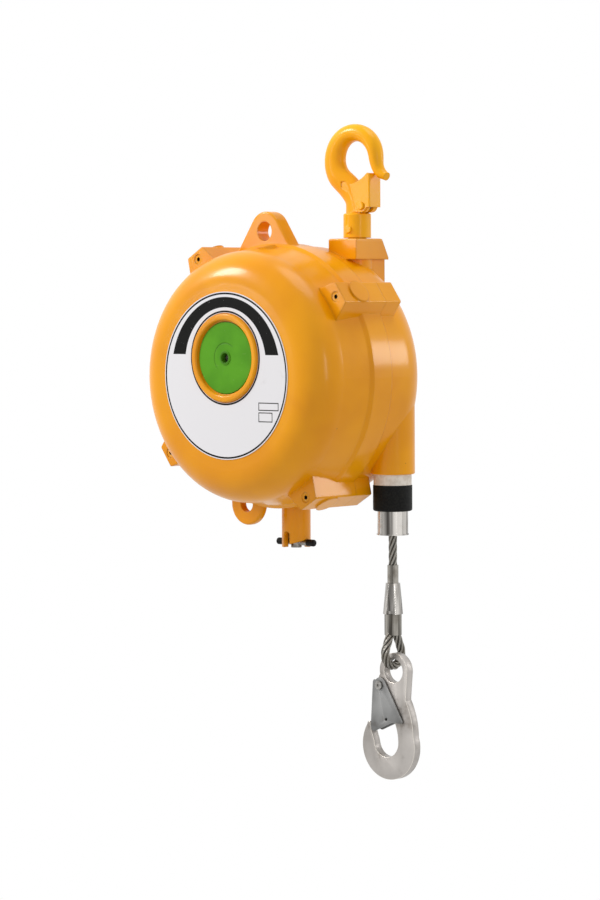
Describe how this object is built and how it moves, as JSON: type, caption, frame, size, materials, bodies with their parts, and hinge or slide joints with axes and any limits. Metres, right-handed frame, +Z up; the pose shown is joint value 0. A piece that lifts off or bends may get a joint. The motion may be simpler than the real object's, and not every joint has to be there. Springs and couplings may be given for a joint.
{
  "type": "tool balancer",
  "caption": "Spring tool balancer: round cast housing on a swivelling safety hook, tapered rope drum with power spring and worm adjuster, wire rope with bumper, swaged eye and latched load hook.",
  "frame": {"origin": "load seat of the suspension hook: the highest point inside its bowl, on the hook's swivel axis", "axes": "+Z up along the swivel axis, +Y towards the rear of the housing (label faces -Y), +X towards the rope side"},
  "size_m": [0.1971, 0.1366, 0.4863],
  "materials": {
    "orange_paint": "gloss enamel on aluminium castings",
    "hook_paint": "gloss enamel on forged steel",
    "black_steel": "black oxide screws",
    "label_print": "printed aluminium plate",
    "green_plastic": "moulded cap, satin",
    "bearing_steel": "ground",
    "machined_steel": "machined",
    "spring_steel": "blued strip",
    "bronze": "sintered bronze",
    "cast_drum": "die-cast, machined grooves",
    "wire_rope": "galvanised wire rope",
    "nylon": "natural nylon",
    "rubber_black": "moulded bumper",
    "polished_sleeve": "polished steel",
    "hook_plate": "satin stainless plate",
    "zinc_sheet": "zinc-plated sheet",
    "black_grip": "dipped grips"
  },
  "bodies": {
    "suspension_hook": {"top_hook": "hook_paint", "hook_collar": "hook_paint", "collar_pin": "hook_paint", "hook_washer": "machined_steel", "hook_nut": "machined_steel", "latch_rivet": "hook_paint"},
    "hook_latch": {"hook_latch": "hook_paint", "hook_latch_spring": "spring_steel"},
    "housing": {"front_cover": "orange_paint", "rear_case": "orange_paint", "case_screws": "black_steel", "front_label": "label_print", "green_cap": "green_plastic", "front_bearing": "bearing_steel", "rear_bearing": "bearing_steel", "worm_bushes": "bronze", "guide_ring": "nylon", "lock_seat": "machined_steel", "lock_spring": "spring_steel", "rope_run": "wire_rope"},
    "worm": {"worm_shaft": "machined_steel"},
    "arbor": {"arbor": "machined_steel", "worm_wheel": "bronze"},
    "drum": {"drum": "cast_drum", "drum_lid": "machined_steel", "drum_bushes": "bronze", "power_spring": "spring_steel", "rope_on_drum": "wire_rope"},
    "lock_collar": {"lock_collar": "machined_steel"},
    "lock_pin": {"lock_pin": "machined_steel", "lock_bar": "machined_steel", "lock_grips": "black_grip"},
    "load_line": {"rubber_bumper": "rubber_black", "stop_sleeve": "polished_sleeve", "rope_tail": "wire_rope", "small_ferrule": "zinc_sheet", "cone_sleeve": "polished_sleeve", "crimp_sleeve": "zinc_sheet", "rope_eye": "wire_rope"},
    "load_hook": {"load_hook": "hook_plate", "load_latch_pin": "machined_steel"},
    "load_latch": {"load_latch": "zinc_sheet", "load_latch_spring": "spring_steel"}
  },
  "joints": [
    {"name": "hook_swivel", "type": "hinge", "parent": "suspension_hook", "child": "housing", "pos_m": [0, 0, -0.072], "axis": [0, 0, 1], "continuous": true},
    {"name": "hook_latch", "type": "hinge", "parent": "suspension_hook", "child": "hook_latch", "pos_m": [0.0095, 0, -0.0479], "axis": [0, -1, 0], "range_deg": [0, 32], "stiffness_Nm_per_rad": 0.03, "springref_deg": -34.38},
    {"name": "drum_spin", "type": "hinge", "parent": "housing", "child": "drum", "pos_m": [-0.042, 0, -0.1592], "axis": [0, 1, 0], "range_deg": [0, 1172.97], "stiffness_Nm_per_rad": 0.08, "springref_deg": -4411.78},
    {"name": "rope_travel", "type": "slide", "parent": "housing", "child": "load_line", "axis": [0, 0, -1], "range_m": [0, 1.3], "deforming": ["rope_run"]},
    {"name": "worm_turn", "type": "hinge", "parent": "housing", "child": "worm", "pos_m": [-0.0108, -0.058, -0.1457], "axis": [-0.3971, 0, 0.9178], "continuous": true},
    {"name": "arbor_turn", "type": "hinge", "parent": "housing", "child": "arbor", "pos_m": [-0.042, 0, -0.1592], "axis": [0, 1, 0], "continuous": true},
    {"name": "lock_drop", "type": "slide", "parent": "housing", "child": "lock_collar", "axis": [0, 0, -1], "range_m": [0, 0.0042], "stiffness_N_per_m": 900, "springref_m": -0.006, "deforming": ["lock_spring"]},
    {"name": "lock_turn", "type": "hinge", "parent": "lock_collar", "child": "lock_pin", "pos_m": [-0.0483, -0.0159, -0.2996], "axis": [0, 0, -1], "range_deg": [0, 90]},
    {"name": "load_swing", "type": "hinge", "parent": "load_line", "child": "load_hook", "pos_m": [0.0335, 0, -0.3885], "axis": [0, 1, 0], "range_deg": [-60, 60]},
    {"name": "load_latch", "type": "hinge", "parent": "load_hook", "child": "load_latch", "pos_m": [0.0239, 0, -0.4032], "axis": [0, -1, 0], "range_deg": [0, 30], "stiffness_Nm_per_rad": 0.02, "springref_deg": -34.38}
  ],
  "couplings": [
    {"joint": "rope_travel", "follows": "drum_spin", "m_per_rad": 0.0635},
    {"joint": "worm_turn", "follows": "arbor_turn", "ratio": 30},
    {"joint": "lock_turn", "follows": "lock_drop", "rad_per_m": 374}
  ]
}
